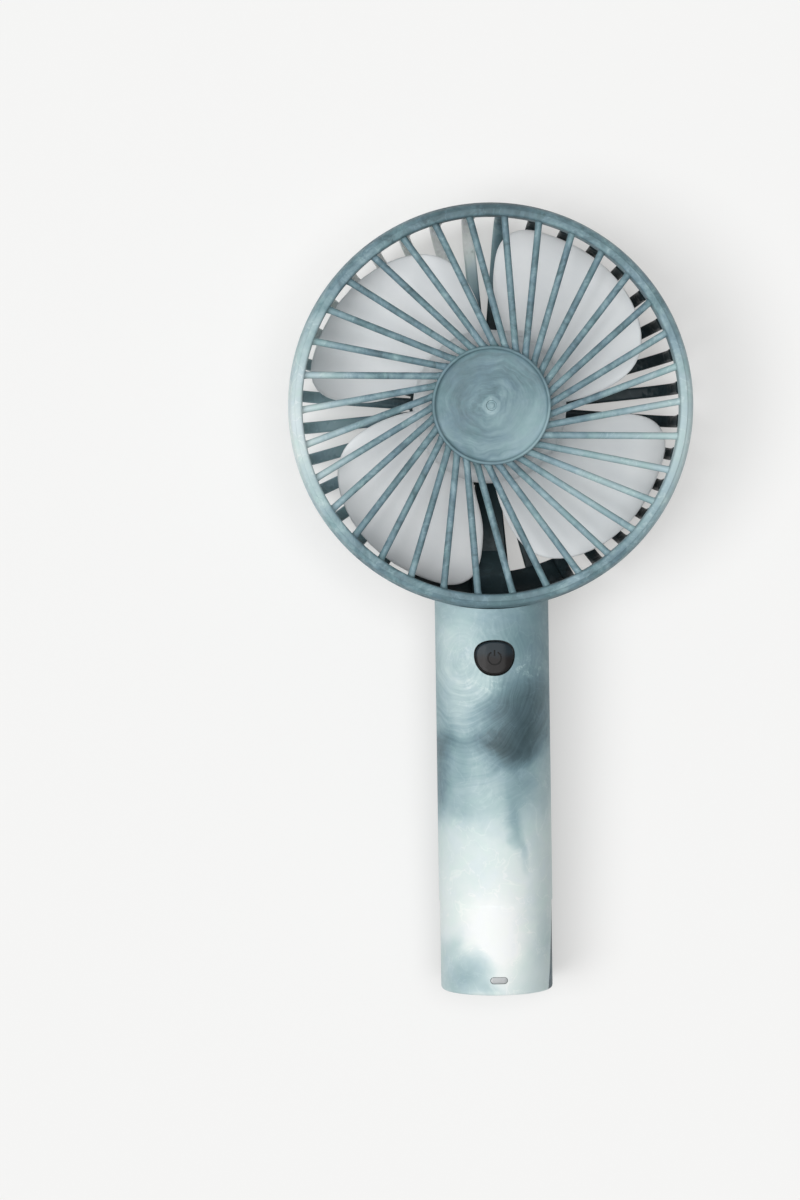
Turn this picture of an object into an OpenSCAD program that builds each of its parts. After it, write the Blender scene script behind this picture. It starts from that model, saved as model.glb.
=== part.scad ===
// Handheld battery fan: a round grilled head on a straight round handle.
// The fan lies on its back: +Z leaves the front grille, +Y points from the handle to the head.
// All sizes are in millimetres.

/* [Head] */
// Outer diameter of the front grille's ring
ring_d = 104; // [102:1:108]
// Depth of the head, from the back cover to the front of the ring
head_depth = 38; // [38:0.5:42]
// Number of ribs in the front grille
front_ribs = 34; // [24:1:36]
// How far each front rib passes beside the centre
rib_offset = 7.5; // [4:0.1:9]
// Number of rib places in the rear grille
rear_ribs = 36; // [18:2:40]

/* [Impeller] */
// Number of blades
blades = 4; // [3:1:4]
// Radius of the impeller's hub
hub_r = 20; // [19.6:0.1:21]
// Radius of the blade tips
tip_r = 48.2; // [45:0.1:48.2]

/* [Handle] */
// Outer diameter of the handle
handle_d = 30; // [30:0.5:34]
// Distance from the head's centre to the handle's end
reach = 153.6; // [153:0.2:165]
// Thickness of the handle's shells
shell = 2; // [1.6:0.1:2]
// Length of the foot at the handle's end, which is a little slimmer and slides into a stand
foot = 23.6; // [22:0.2:26]

/* [Power button] */
// Width of the button
button_w = 9.8; // [9:0.2:11]
// Height of the button, along the handle
button_h = 8.6; // [8:0.1:9.6]
// Distance from the head's centre to the button
button_s = 65.4; // [65:0.1:66]

/* [Hidden] */
$fn = 96;

// Places of the head and the handle
ring_r = ring_d / 2;
band_r = ring_r + 0.6;
head_y = (reach - band_r) / 2;
axis_z = head_depth / 2;
handle_r = handle_d / 2;
bore_r = handle_r - shell;
foot_r = handle_r - 0.25;
gap = 0.1;

// Front grille
ring_in_r = ring_r - 3.2;
spigot_r = ring_r - 1.5;
band_in_r = spigot_r + 0.2;
band_top = head_depth - 7;
bead = 0.45;
rib_r = 0.9;
rib_z = head_depth - 2.6;
disc_r = 15.4;

// Rear grille
rib_w = 3.1;
rib_phase = 5.2;
back_r = 20;
corner_r = 9.9;
corner_c = band_r - 0.7 - corner_r;
rib_t = 2.2;
band_low = 20;
collar_from = 244;
collar_sweep = 51;
collar_in_r = 44.5;
flange_low = 1.5;
cup_r = 14.4;
cup_in_r = 12.4;
cup_top = 17.4;
neck_r = 12;
neck_in_r = 10.4;
neck_end = 58;

// Motor
can_r = 12.2;
can_low = 3.6;
can_top = 15.8;
shaft_r = 1;
fit = 0.02;
bush_r = 2.4;
motor_screw_x = 8.5;

// Handle interior, as distances from the head's centre
board_s0 = 59.6;
board_s1 = 76.5;
board_z = 3.8;
board_t = 1.2;
cell_r = 9.2;
cell_s0 = 80;
cell_s1 = 144.6;
screw_x = 9.6;
screw_s = [74, 149.6];
post_x = 4.4;
post_s = 72.9;
lens_s = 149.6;
charge_z = 1.7;
wire_r = 0.6;

// Colours
teal = "#7d9ba5";
dark_teal = "#1e2d30";
mint = "#aac3c8";
white = "#dcdede";
black = "#2b2d30";
steel = "#b8bcc0";
copper = "#b8703c";
green = "#2f6b46";
amber = "#c8a060";

// Points on an arc from angle a0 to a1
function arc(c, r, a0, a1, n = 8) =
    [for (i = [0 : n]) let (a = a0 + (a1 - a0) * i / n) c + r * [cos(a), sin(a)]];

// Puts its children on the head's axis
module at_head() translate([0, head_y, 0]) children();

// Turns its children so that +Z runs down the handle from the head's centre
module along_handle() translate([0, head_y, axis_z]) rotate([90, 0, 0]) children();

// Puts its children on the handle's axis at distance s, with +Z towards the front
module on_handle(s) translate([0, head_y - s, axis_z]) children();

// A tube from z0 to z1
module tube(r, r_in, z0, z1) {
    translate([0, 0, z0]) difference() {
        cylinder(r = r, h = z1 - z0);
        translate([0, 0, -1]) cylinder(r = r_in, h = z1 - z0 + 2);
    }
}

// A block from one corner to the other
module block(a, b) translate(a) cube(b - a);

// A pan head screw that points down from its head's underside at z = 0
module screw(head_r, head_h, r, length) {
    difference() {
        union() {
            cylinder(r = head_r, h = head_h);
            translate([0, 0, -length]) cylinder(r = r, h = length + 0.1);
        }
        for (a = [0, 90]) rotate([0, 0, a])
            block([-head_r * 0.6, -0.2, head_h * 0.5], [head_r * 0.6, 0.2, head_h + 1]);
    }
}

// ---- Head ----

module front_ring() {
    rotate_extrude() polygon(concat(
        [[ring_in_r, rib_z - 1.6]],
        arc([ring_in_r + 0.8, head_depth - 0.8], 0.8, 180, 90, 4),
        arc([ring_r - 2.2, head_depth - 2.2], 2.2, 90, 0),
        [[ring_r, band_top + 0.2], [spigot_r, band_top + 0.2]],
        [[spigot_r, band_top - 1.8], [spigot_r + bead, band_top - 2.2]],
        [[spigot_r, band_top - 2.6], [spigot_r, band_top - 3.8]],
        [[spigot_r - 1.2, band_top - 3.8], [spigot_r - 1.2, rib_z - 2.4]]
    ));
}

module front_disc() {
    difference() {
        rotate_extrude() polygon(concat(
            [[0, head_depth - 2.4], [0, head_depth - 1.1], [disc_r - 1.2, head_depth - 1.1]],
            arc([disc_r - 0.45, head_depth - 0.55], 0.45, 135, 0, 4),
            [[disc_r, rib_z - 1.2], [disc_r - 1.2, rib_z - 1.2], [disc_r - 1.2, head_depth - 2.4]]
        ));
        tube(1.3, 0.9, head_depth - 1.5, head_depth);
    }
}

module front_grille() {
    inner = sqrt(pow(disc_r - 0.8, 2) - pow(rib_offset, 2));
    outer = sqrt(pow(ring_in_r + 0.6, 2) - pow(rib_offset, 2));
    color(teal) at_head() union() {
        front_ring();
        front_disc();
        for (i = [0 : front_ribs - 1]) rotate([0, 0, i * 360 / front_ribs - 1.3])
            translate([inner, -rib_offset, rib_z]) rotate([0, 90, 0])
                cylinder(r = rib_r, h = outer - inner, $fn = 24);
    }
}

// Outline of the rear basket's wall in radius and height, from angle a0 of its corner to its top
function basket(a0) = concat(
    arc([corner_c, corner_r], corner_r, a0, 0),
    [[corner_c + corner_r, band_low + 0.6], [band_in_r + 0.3, band_low + 1.4]],
    [[corner_c + corner_r - rib_t, band_low]],
    arc([corner_c, corner_r], corner_r - rib_t, 0, a0)
);

// A prism of a side view in radius and height, as wide as w
module side_prism(outline, w) rotate([90, 0, 0]) linear_extrude(w, center = true) polygon(outline);

module rear_rib() side_prism(concat([[back_r, rib_t], [back_r, 0]], basket(-90)), rib_w);

// A rib that ends in the collar
module short_rib() side_prism([
    [back_r, 0], [collar_in_r + 1, 0.7], [collar_in_r + 1, rib_t], [back_r, rib_t]
], rib_w);

module wire_arm() {
    intersection() {
        side_prism(concat(
            [[cup_r - 1, 7.6], [cup_r - 1, flange_low], [back_r, flange_low], [back_r, 0]],
            arc([corner_c, corner_r], corner_r, -90, 0),
            [[corner_c + corner_r, band_low], [corner_c + 8, band_low]],
            [[corner_c + 8, 13.8], [44.2, 13.8], [38, 7.6]]
        ), 12);
        linear_extrude(band_low + 1) polygon([[12, 2.6], [53, 5.2], [53, -5.2], [12, -2.6]]);
    }
}

// The solid wall where the handle joins, which flares out to the rim band
module collar() {
    a0 = -acos((collar_in_r - corner_c) / corner_r);
    rotate([0, 0, collar_from]) rotate_extrude(angle = collar_sweep) polygon(concat(
        arc([corner_c, corner_r], corner_r, a0, 0),
        [[band_r - 0.3, corner_r + 3], [band_r - 0.3, band_low + 0.6]],
        [[corner_c + corner_r - rib_t, band_low + 0.6]],
        arc([corner_c, corner_r], corner_r - rib_t, 0, a0)
    ));
}

// The way for the motor's leads, from the cup along the arm into the neck
module wire_way() {
    side_prism([
        [11.5, 1.4], [20.4, 1.4], [41, 1.8], [47.2, 8.2], [54, 8.2],
        [54, 12.4], [45, 12.4], [38.6, 6.2], [11.5, 6.2]
    ], 3.4);
}

module rear_grille() {
    color(dark_teal) at_head() difference() {
        union() {
            rotate_extrude() polygon([
                [band_in_r, band_low], [band_r, band_low], [band_r, band_top - 0.4],
                [band_r - 0.4, band_top], [band_in_r, band_top], [band_in_r, band_top - 1.5],
                [band_in_r + bead, band_top - 1.9], [band_in_r + bead, band_top - 2.5],
                [band_in_r, band_top - 2.9]
            ]);
            for (i = [0 : rear_ribs - 1])
                let (a = rib_phase + i * 360 / rear_ribs)
                rotate([0, 0, a])
                if (a > collar_from && a < collar_from + collar_sweep) short_rib();
                else rear_rib();
            tube(back_r + 0.6, cup_r - 1, flange_low, flange_low + 1.5);
            tube(cup_r, cup_in_r, flange_low, cup_top);
            translate([0, 0, can_top + gap]) cylinder(r = cup_in_r + 0.5, h = cup_top - can_top - gap);
            rotate([0, 0, 270]) wire_arm();
            collar();
            translate([0, 0, axis_z]) rotate([90, 0, 0]) tube(neck_r, neck_in_r, band_in_r + 0.05, neck_end);
        }
        rotate([0, 0, 270]) wire_way();
        translate([0, 0, can_top]) cylinder(r = 3.2, h = 5);
        for (x = [-motor_screw_x, motor_screw_x]) translate([x, 0, can_top]) cylinder(r = 1.1, h = 5);
    }
}

module motor_back_cover() {
    r = back_r - 0.4;
    color(dark_teal) at_head() difference() {
        union() {
            rotate_extrude() polygon(concat(
                [[0, 0]], arc([r - 0.5, 0.5], 0.5, -90, 0, 4), [[r, 1.3], [0, 1.3]]
            ));
            tube(cup_in_r - 0.1, cup_in_r - 1.2, 1.2, 3.3);
        }
        block([-2.2, -cup_in_r - 1, 1.3], [2.2, -cup_in_r + 3, 4]);
    }
}

// ---- Impeller ----

hub_top = head_depth - 8.6;
hub_low = 15;
blade_root_r = hub_r - 0.8;
blade_front_z = hub_top - 1.4;
blade_back_z = hub_low + 0.6;
blade_angle = 85;
blade_rings = 12;
blade_steps = 12;

// How far the blade's outline has closed at radius share q, from 0 at the root to 1 at the tip
function closing(q) = 1 - sqrt(1 - pow(q, 7));
function front_edge(q) = 2.3 + 17 * pow(q, 1.2) + 43.7 * closing(q);
function back_edge(q) = 77 + 10 * sin(90 * min(1, 2 * q)) - 13 * closing(q);

// The point at radius share q and share c from the front edge to the back edge
function blade_point(q, c, side) =
    let (
        a = front_edge(q) + (back_edge(q) - front_edge(q)) * c,
        r = blade_root_r + (tip_r - blade_root_r) * q,
        t = a / blade_angle,
        mean = blade_front_z + (blade_back_z - blade_front_z) * t + 2.4 * t * (1 - t),
        half = 0.65 - 0.2 * q
    )
    [r * cos(a), r * sin(a), mean + side * half];

module blade() {
    m = blade_steps + 1;
    side_n = (blade_rings + 1) * m;
    shares = [for (i = [0 : blade_rings]) 0.998 * sin(90 * i / blade_rings)];
    points = [
        for (side = [1, -1], q = shares, j = [0 : blade_steps]) blade_point(q, j / blade_steps, side)
    ];
    top = [for (i = [0 : blade_rings - 1], j = [0 : blade_steps - 1]) i * m + j];
    rim = concat(
        [for (j = [0 : blade_steps - 1]) j],
        [for (i = [0 : blade_rings - 1]) i * m + blade_steps],
        [for (j = [blade_steps : -1 : 1]) blade_rings * m + j],
        [for (i = [blade_rings : -1 : 1]) i * m]
    );
    faces = concat(
        [for (k = top) [k, k + m + 1, k + m]],
        [for (k = top) [k, k + 1, k + m + 1]],
        [for (k = top) [side_n + k, side_n + k + m, side_n + k + m + 1]],
        [for (k = top) [side_n + k, side_n + k + m + 1, side_n + k + 1]],
        [for (k = [0 : len(rim) - 1])
            let (a = rim[k], b = rim[(k + 1) % len(rim)]) [a, b, side_n + b]],
        [for (k = [0 : len(rim) - 1])
            let (a = rim[k], b = rim[(k + 1) % len(rim)]) [a, side_n + b, side_n + a]]
    );
    polyhedron(points, faces);
}

module impeller() {
    color(white) at_head() union() {
        rotate_extrude() polygon(concat(
            [[shaft_r + fit, hub_top - 10], [shaft_r + fit, hub_top - 0.6], [hub_r - 2.5, hub_top]],
            arc([hub_r - 2.5, hub_top - 2.5], 2.5, 90, 0, 6),
            [[hub_r, hub_low], [hub_r - 1.5, hub_low], [hub_r - 1.5, hub_top - 2.5]],
            [[hub_r - 2.5, hub_top - 1.6], [3.2, hub_top - 2.1], [3.2, hub_top - 10]]
        ));
        for (i = [0 : blades - 1]) rotate([0, 0, i * 360 / blades]) blade();
    }
}

// ---- Motor ----

module motor_can() {
    color(steel) at_head() difference() {
        union() {
            tube(can_r, can_r - 0.6, can_low, can_top);
            translate([0, 0, can_top - 0.6]) cylinder(r = can_r - 0.3, h = 0.6);
            translate([0, 0, can_top - 1.4]) cylinder(r = 3, h = 2.6);
        }
        translate([0, 0, can_top - 2]) cylinder(r = bush_r + fit, h = 5);
        for (x = [-motor_screw_x, motor_screw_x])
            translate([x, 0, can_top - 2]) cylinder(r = 0.97, h = 3);
    }
}

module motor_end_cap() {
    color(black) at_head() rotate_extrude() polygon([
        [bush_r + fit, can_low - 1.2], [3.2, can_low - 1.2], [3.2, can_low],
        [can_r - 0.65, can_low], [can_r - 0.65, can_low + 1.6], [3.2, can_low + 1.6],
        [3.2, can_low + 2.2], [bush_r + fit, can_low + 2.2]
    ]);
}

module motor_terminals() {
    color(steel) at_head() for (x = [-0.85, 0.85])
        block([x - 0.6, -8.5, can_low - 1.5], [x + 0.6, -8.1, can_low]);
}

module motor_shaft() {
    color(steel) at_head() translate([0, 0, can_low - 1.1]) cylinder(r = shaft_r, h = hub_top - can_low - 0.1);
}

module motor_front_bush() {
    color(amber) at_head() tube(bush_r, shaft_r + 0.03, can_top - 1.3, can_top + 1.2);
}

module motor_rear_bush() {
    color(amber) at_head() tube(bush_r, shaft_r + 0.03, can_low - 1, can_low + 2);
}

module motor_magnets() {
    color(black) at_head() for (a = [-75, 105]) rotate([0, 0, a])
        rotate_extrude(angle = 150) translate([9.4, can_low + 3.4]) square([2.1, 6.9]);
}

core_r = 8.9;
core_low = can_low + 5.8;
core_h = 4;
poles = 3;

module armature_core() {
    color(steel) at_head() difference() {
        union() {
            translate([0, 0, core_low]) cylinder(r = 3.4, h = core_h);
            for (i = [0 : poles - 1]) rotate([0, 0, i * 360 / poles]) {
                block([2, -1.2, core_low], [core_r - 1, 1.2, core_low + core_h]);
                rotate([0, 0, -48]) rotate_extrude(angle = 96)
                    translate([core_r - 1.5, core_low]) square([1.5, core_h]);
            }
        }
        translate([0, 0, core_low - 1]) cylinder(r = shaft_r + fit, h = core_h + 2);
    }
}

module armature_windings() {
    color(copper) at_head() for (i = [0 : poles - 1]) rotate([0, 0, i * 360 / poles]) difference() {
        block([3.6, -2.7, core_low - 1.1], [6.7, 2.7, core_low + core_h + 1.1]);
        block([3, -1.25, core_low - 0.05], [8, 1.25, core_low + core_h + 0.05]);
    }
}

module commutator() {
    color(copper) at_head() difference() {
        tube(2.6, shaft_r + fit, can_low + 2.4, can_low + 4.5);
        for (i = [0 : poles - 1]) rotate([0, 0, 60 + i * 360 / poles])
            block([2, -0.15, can_low + 2], [3, 0.15, can_low + 4.2]);
    }
}

module motor_brushes() {
    color(amber) at_head() for (a = [0, 180]) rotate([0, 0, a]) union() {
        block([2.65, -0.9, can_low + 2.7], [3.45, 0.9, can_low + 4.2]);
        block([3.4, -0.7, can_low + 1.6], [3.7, 0.7, can_low + 4.3]);
    }
}

module motor_screws() {
    color(steel) at_head() for (x = [-motor_screw_x, motor_screw_x])
        translate([x, 0, cup_top]) screw(1.9, 1.2, 0.95, cup_top - can_top + 1.8);
}

// ---- Handle ----

// The whole handle with its end wall, before it is split
module handle_tube() {
    edge = 0.8;
    difference() {
        rotate_extrude() polygon(concat(
            [[bore_r, head_y - 5], [handle_r, head_y - 5]],
            [[handle_r, reach - foot], [foot_r, reach - foot]],
            arc([foot_r - edge, reach - edge], edge, 0, 90, 5),
            [[0, reach], [0, reach - 2], [bore_r, reach - 2]]
        ));
        rotate([-90, 0, 0]) cylinder(r = band_r + gap, h = 2 * handle_d, center = true);
    }
}

// Ribs inside both shells that hold the neck and the cell, open where the leads pass
module inner_ribs() {
    difference() {
        union() {
            tube(bore_r + 0.3, neck_r + gap, neck_end - 3.5, neck_end - 1);
            tube(bore_r + 0.3, cell_r - 1.2, cell_s0 - 3, cell_s0 - 2);
            tube(bore_r + 0.3, cell_r + 0.2, cell_s0 + 10, cell_s0 + 11.5);
            tube(bore_r + 0.3, cell_r + 0.2, cell_s1 - 11.5, cell_s1 - 10);
            tube(bore_r + 0.3, cell_r - 1.2, cell_s1 + 1.4, cell_s1 + 2.4);
        }
        block([6.8, -2.4, board_s1], [bore_r, 3.6, reach - 2.5]);
        block([-bore_r, -1.5, board_s1], [-6.8, 1.5, reach - 2.5]);
    }
}

// The side of the parting line that belongs to the rear shell: the line runs along the handle's
// middle, and on the right it climbs towards the front over the last stretch to the end
module rear_side(clear) {
    block([-handle_d, -handle_d, 0], [handle_d, clear, reach + 1]);
    rotate([90, 0, 90]) translate([0, 0, 7]) linear_extrude(handle_d)
        polygon([[-1, reach - 32], [clear, reach - 32], [clear + 6.3, reach + 0.3], [-1, reach + 0.3]]);
}

// A pill-shaped prism, w wide in X and t in Y
module pill(w, t, h) {
    for (x = [-(w - t) / 2, (w - t) / 2]) translate([x, 0, 0]) cylinder(r = t / 2, h = h, $fn = 48);
    translate([-(w - t) / 2, -t / 2, 0]) cube([w - t, t, h]);
}

// The opening for the socket in the end wall
module socket_opening() along_handle() translate([0, 0, reach - 3]) pill(9.4, 3.7, 4);

// Outline of the button: wide shoulders towards the head, narrower below
function shield(w, h) = [
    for (a = [0 : 7.5 : 359])
        [
            w / 2 * sign(cos(a)) * pow(abs(cos(a)), 0.85) * (1 + 0.13 * sin(a)),
            h / 2 * sign(sin(a)) * pow(abs(sin(a)), 0.9)
        ]
];

module handle_front_shell() {
    color(mint) difference() {
        union() {
            along_handle() difference() {
                union() {
                    handle_tube();
                    inner_ribs();
                }
                rear_side(gap);
            }
            for (x = [-screw_x, screw_x], s = screw_s) difference() {
                intersection() {
                    on_handle(s) translate([x, 0, gap]) cylinder(r = 2.2, h = 10);
                    along_handle() cylinder(r = bore_r + 0.3, h = reach - 1);
                }
                along_handle() intersection() {
                    rear_side(gap);
                    tube(handle_d, bore_r - gap, 0, reach);
                }
            }
            for (x = [-post_x, post_x])
                on_handle(post_s) translate([x, 0, board_z + board_t + 0.05]) cylinder(r = 1.6, h = 7.5);
        }
        for (x = [-screw_x, screw_x], s = screw_s)
            on_handle(s) translate([x, 0, 0]) cylinder(r = 1 + fit, h = 5);
        for (x = [-post_x, post_x])
            on_handle(post_s) translate([x, 0, board_z]) cylinder(r = 0.8 + fit, h = 6);
        on_handle(button_s) linear_extrude(handle_r + 1) polygon(shield(button_w + 0.8, button_h + 0.8));
        on_handle(lens_s) translate([0, 0, 8]) pill(4.6, 1.85, handle_r);
        socket_opening();
    }
}

module handle_rear_shell() {
    color(dark_teal) difference() {
        union() {
            along_handle() intersection() {
                union() {
                    handle_tube();
                    inner_ribs();
                }
                rear_side(0);
            }
            for (x = [-screw_x, screw_x], s = screw_s) intersection() {
                on_handle(s) translate([x, 0, -handle_r]) cylinder(r = 2.9, h = handle_r);
                along_handle() cylinder(r = bore_r + 0.3, h = reach - 1);
            }
        }
        for (x = [-screw_x, screw_x], s = screw_s) on_handle(s) translate([x, 0, 0]) {
            translate([0, 0, -8]) cylinder(r = 1.15, h = 9);
            translate([0, 0, -handle_r - 1]) cylinder(r = 2.1, h = handle_r - 6);
        }
        socket_opening();
    }
}

module shell_screws() {
    color(steel) for (x = [-screw_x, screw_x], s = screw_s)
        on_handle(s) translate([x, 0, -7]) rotate([180, 0, 0]) screw(1.9, 1.4, 1, 11);
}

// ---- Power button and switch ----

module power_button() {
    proud = 0.3;
    color(black) difference() {
        union() {
            intersection() {
                on_handle(button_s) translate([0, 0, 10.6]) linear_extrude(handle_r)
                    polygon(shield(button_w, button_h));
                along_handle() cylinder(r = handle_r + proud, h = reach);
            }
            on_handle(button_s) translate([0, 0, 10.2]) linear_extrude(0.8)
                polygon(shield(button_w + 1.6, button_h + 1.6));
            on_handle(button_s) translate([0, 0, 9.62]) cylinder(r = 2, h = 1);
        }
        on_handle(button_s) translate([0, 0, handle_r + proud - 0.4]) {
            difference() {
                tube(1.9, 1.5, 0, 2);
                block([-0.8, 0, -1], [0.8, 3, 3]);
            }
            block([-0.2, 0.5, 0], [0.2, 2.1, 2]);
        }
    }
}

module switch_body() {
    color(black) on_handle(button_s) difference() {
        block([-3, -3, board_z + board_t], [3, 3, 8]);
        translate([0, 0, 6.2]) cylinder(r = 1.75, h = 3);
    }
}

module switch_plunger() {
    color(amber) on_handle(button_s) translate([0, 0, 7]) cylinder(r = 1.65, h = 2.6);
}

module circuit_board() {
    color(green) difference() {
        on_handle(board_s1) block([-6.8, 0, board_z], [6.8, board_s1 - board_s0, board_z + board_t]);
        for (x = [-post_x, post_x]) on_handle(post_s) translate([x, 0, 0]) cylinder(r = 0.9, h = 8);
    }
}

module controller_chip() {
    color(black) on_handle(67) union() {
        block([-2.4, -2, board_z - 1.5], [1.6, 2, board_z - 0.1]);
        for (x = [-3, 1.5], y = [-1.6 : 1.05 : 1.6])
            block([x, y, board_z - 0.5], [x + 0.7, y + 0.4, board_z]);
    }
}

module motor_transistor() {
    color(black) on_handle(66) block([3.4, -1.5, board_z - 1.2], [5.6, 1.5, board_z]);
}

module board_screws() {
    color(steel) for (x = [-post_x, post_x])
        on_handle(post_s) translate([x, 0, board_z]) rotate([180, 0, 0]) screw(1.5, 1, 0.8, 5);
}

// ---- Battery ----

module battery_cell() {
    color("#3f7fb0") along_handle() rotate_extrude() polygon(concat(
        [[0, cell_s0 - 0.5], [2.9, cell_s0 - 0.5], [2.9, cell_s0]],
        arc([cell_r - 0.6, cell_s0 + 0.6], 0.6, -90, 0, 4),
        arc([cell_r - 0.6, cell_s1 - 0.6], 0.6, 0, 90, 4),
        [[0, cell_s1]]
    ));
}

module battery_tab_positive() {
    color(steel) along_handle() block([-2.5, -2, cell_s0 - 0.8], [10, 0.1, cell_s0 - 0.55]);
}

module battery_tab_negative() {
    color(steel) along_handle() block([-10, -2, cell_s1 + 0.05], [2.5, 2, cell_s1 + 0.3]);
}

module battery_pads() {
    color("#505457") along_handle() for (s = [cell_s0 - 1.95, cell_s1 + 0.35]) intersection() {
        translate([0, 0, s]) cylinder(r = 9, h = 1);
        block([-6.8, -9, s], [6.8, 9, s + 1]);
    }
}

// ---- Charging ----

module charge_board() {
    color(green) on_handle(reach - 2.2) block([-6.8, 0, charge_z], [6.8, 4, charge_z + 1]);
}

module charge_socket() {
    color(steel) along_handle() union() {
        difference() {
            translate([0, 0, reach - 7.4]) pill(8.9, 3.2, 7.2);
            translate([0, 0, reach - 6.2]) pill(8.3, 2.6, 8);
        }
        block([-3.3, -0.35, reach - 6.4], [3.3, 0.35, reach - 0.8]);
    }
}

module charger_chip() {
    color(black) on_handle(reach - 4.2) block([3.4, -1.5, charge_z + 1], [6.2, 1.5, charge_z + 2]);
}

module indicator_led() {
    color(white) on_handle(lens_s) block([-1.6, -0.8, charge_z + 1], [1.6, 0.8, charge_z + 2.1]);
}

module indicator_lens() {
    color("#a9adaf") intersection() {
        on_handle(lens_s) {
            translate([0, 0, charge_z + 2.8]) pill(4.4, 1.65, handle_r);
            translate([0, 0, 11.2]) pill(5.6, 2.8, 0.8);
        }
        along_handle() cylinder(r = foot_r - 0.15, h = reach);
    }
}

// ---- Leads ----

// A point in the handle: across, distance from the head's centre, height over the axis
function h_point(x, s, z) = [x, head_y - s, axis_z + z];

// A smooth run through the route's points, with n steps between each two
function smooth_run(p, n = 3) = concat(
    [for (i = [0 : len(p) - 2], k = [0 : n - 1])
        let (
            t = k / n,
            a = p[max(i - 1, 0)],
            b = p[i],
            c = p[i + 1],
            d = p[min(i + 2, len(p) - 1)]
        )
        0.5 * (2 * b + (c - a) * t + (2 * a - 5 * b + 4 * c - d) * t * t
            + (3 * b - a - 3 * c + d) * t * t * t)],
    [p[len(p) - 1]]
);

// A tube with eight sides swept along the route
module lead(route) {
    run = smooth_run(route);
    n = len(run);
    sides = 8;
    rings = [
        for (i = [0 : n - 1])
            let (
                ahead = run[min(i + 1, n - 1)] - run[max(i - 1, 0)],
                along = ahead / norm(ahead),
                across = cross(along, [1, 0.05, 0]),
                u = across / norm(across),
                v = cross(along, u)
            )
            for (k = [0 : sides - 1])
                let (a = 360 * k / sides) run[i] + wire_r * (u * cos(a) + v * sin(a))
    ];
    walls = [
        for (i = [0 : n - 2], k = [0 : sides - 1])
            let (a = i * sides + k, b = i * sides + (k + 1) % sides)
            for (f = [[a, a + sides, b + sides], [a, b + sides, b]]) f
    ];
    ends = [[for (k = [0 : sides - 1]) k], [for (k = [sides - 1 : -1 : 0]) (n - 1) * sides + k]];
    polyhedron(rings, concat(walls, ends));
}

// Leads from the motor's terminals through the arm and neck to the board, on side x = -1 or 1
function motor_route(side) = [
    [0.85 * side, head_y - 8.6, 2.4], [0.85 * side, head_y - 14, 2.5],
    [0.85 * side, head_y - 22, 3.3], [0.85 * side, head_y - 30, 3.8],
    [0.85 * side, head_y - 37, 4.2], [0.85 * side, head_y - 42, 6.8],
    [0.85 * side, head_y - 47, 10], [0.85 * side, head_y - 52, 10.4],
    h_point(0.95 * side, 56, -6), h_point(1.1 * side, 58.6, -0.5),
    h_point(1.3 * side, 60.4, 2.6), h_point(1.4 * side, 62.4, 3.1)
];

module motor_lead_red() color("firebrick") lead(motor_route(1));
module motor_lead_black() color(black) lead(motor_route(-1));

module battery_lead_red() {
    color("firebrick") lead([
        h_point(10.7, 79.4, -1.2), h_point(9.6, 78.2, -1.1), h_point(7.3, 77, -0.8),
        h_point(4.2, 76.3, 0.4), h_point(2.4, 75.8, 2.4), h_point(1.6, 74.8, 3.1)
    ]);
}

module battery_lead_black() {
    color(black) lead([
        h_point(-10.7, 144.7, 0), h_point(-11.1, 142, 0), h_point(-11.1, 130, 0),
        h_point(-11.1, 115, 0), h_point(-11.1, 100, 0), h_point(-11.1, 85, 0),
        h_point(-10.8, 80, 0), h_point(-9.6, 78.2, 0), h_point(-7.4, 77, 0.4),
        h_point(-5.4, 76.2, 1.8), h_point(-4.4, 75.6, 3), h_point(-4, 75.2, 3.1)
    ]);
}

// A charging lead at height z, whose inner end lands on the board at x
module charge_lead(z, x) {
    side = sqrt(pow(11.1, 2) - z * z);
    lead([
        h_point(x, 147.9, z > 1.5 ? 3.3 : 1.05), h_point(x + 1.4, 146.9, z + 0.1),
        h_point(side - 0.6, 145.4, z), h_point(side, 143, z), h_point(side, 130, z),
        h_point(side, 115, z), h_point(side, 100, z), h_point(side, 85, z),
        h_point(side - 0.3, 80, z), h_point(9.4, 78.4, z), h_point(7.6, 77.2, z),
        h_point(x, 76.4, z > 1.5 ? 3 : 2), h_point(x - 0.8, 75.4, 3.1)
    ]);
}

module charge_lead_red() color("firebrick") charge_lead(0.9, 5);
module charge_lead_black() color(black) charge_lead(2.7, 6.6);

front_grille();
rear_grille();
motor_back_cover();
impeller();
motor_can();
motor_end_cap();
motor_terminals();
motor_shaft();
motor_front_bush();
motor_rear_bush();
motor_magnets();
armature_core();
armature_windings();
commutator();
motor_brushes();
motor_screws();
handle_front_shell();
handle_rear_shell();
shell_screws();
power_button();
switch_plunger();
switch_body();
circuit_board();
controller_chip();
motor_transistor();
board_screws();
battery_cell();
battery_tab_positive();
battery_tab_negative();
battery_pads();
charge_board();
charge_socket();
charger_chip();
indicator_led();
indicator_lens();
motor_lead_red();
motor_lead_black();
battery_lead_red();
battery_lead_black();
charge_lead_red();
charge_lead_black();
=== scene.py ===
"""Handheld battery fan that lies on its back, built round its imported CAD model."""
import math

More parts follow.
